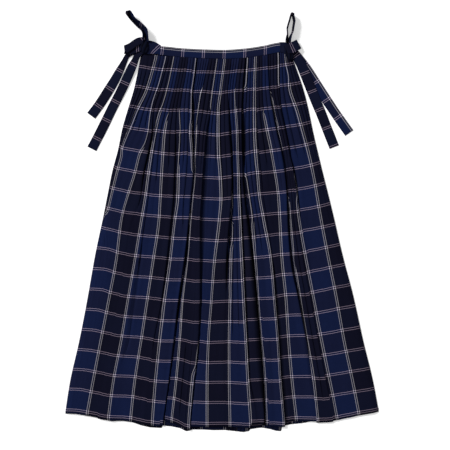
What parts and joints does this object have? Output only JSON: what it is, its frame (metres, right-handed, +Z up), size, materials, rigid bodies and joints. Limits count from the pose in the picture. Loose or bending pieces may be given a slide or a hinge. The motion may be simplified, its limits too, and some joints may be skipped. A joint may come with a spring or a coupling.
{
  "type": "pleated skirt",
  "caption": "Long side-tie skirt in checked cloth, knife-pleated into narrow waistbands whose ties are knotted in a bow at each side, laid flat with its front up.",
  "frame": {"origin": "middle of the laid-out skirt's whole outline, bows and ties included, on the surface that it lies on", "axes": "+X across the skirt towards the picture's right, +Y from the hem to the waistband, +Z up out of the front"},
  "size_m": [0.7358, 0.9838, 0.024],
  "materials": {
    "panel_check": "soft matt plain-weave wool check in navy, with fine ivory and mauve lines",
    "band_check": "the same check cut along the cloth, pressed flat and topstitched",
    "tie_check": "the same check folded to a narrow tie, limp and slightly creased"
  },
  "bodies": {
    "root": {"front_panel": "panel_check", "back_panel": "panel_check", "front_waistband": "band_check", "back_waistband": "band_check", "left_tie_root": "tie_check", "left_bow_knot": "tie_check", "left_bow_side_loop": "tie_check", "left_bow_up_loop": "tie_check", "left_tail_outer": "tie_check", "left_tail_inner": "tie_check", "right_tie_root": "tie_check", "right_bow_knot": "tie_check", "right_bow_side_loop": "tie_check", "right_bow_up_loop": "tie_check", "right_tail_outer": "tie_check", "right_tail_inner": "tie_check"}
  },
  "joints": []
}
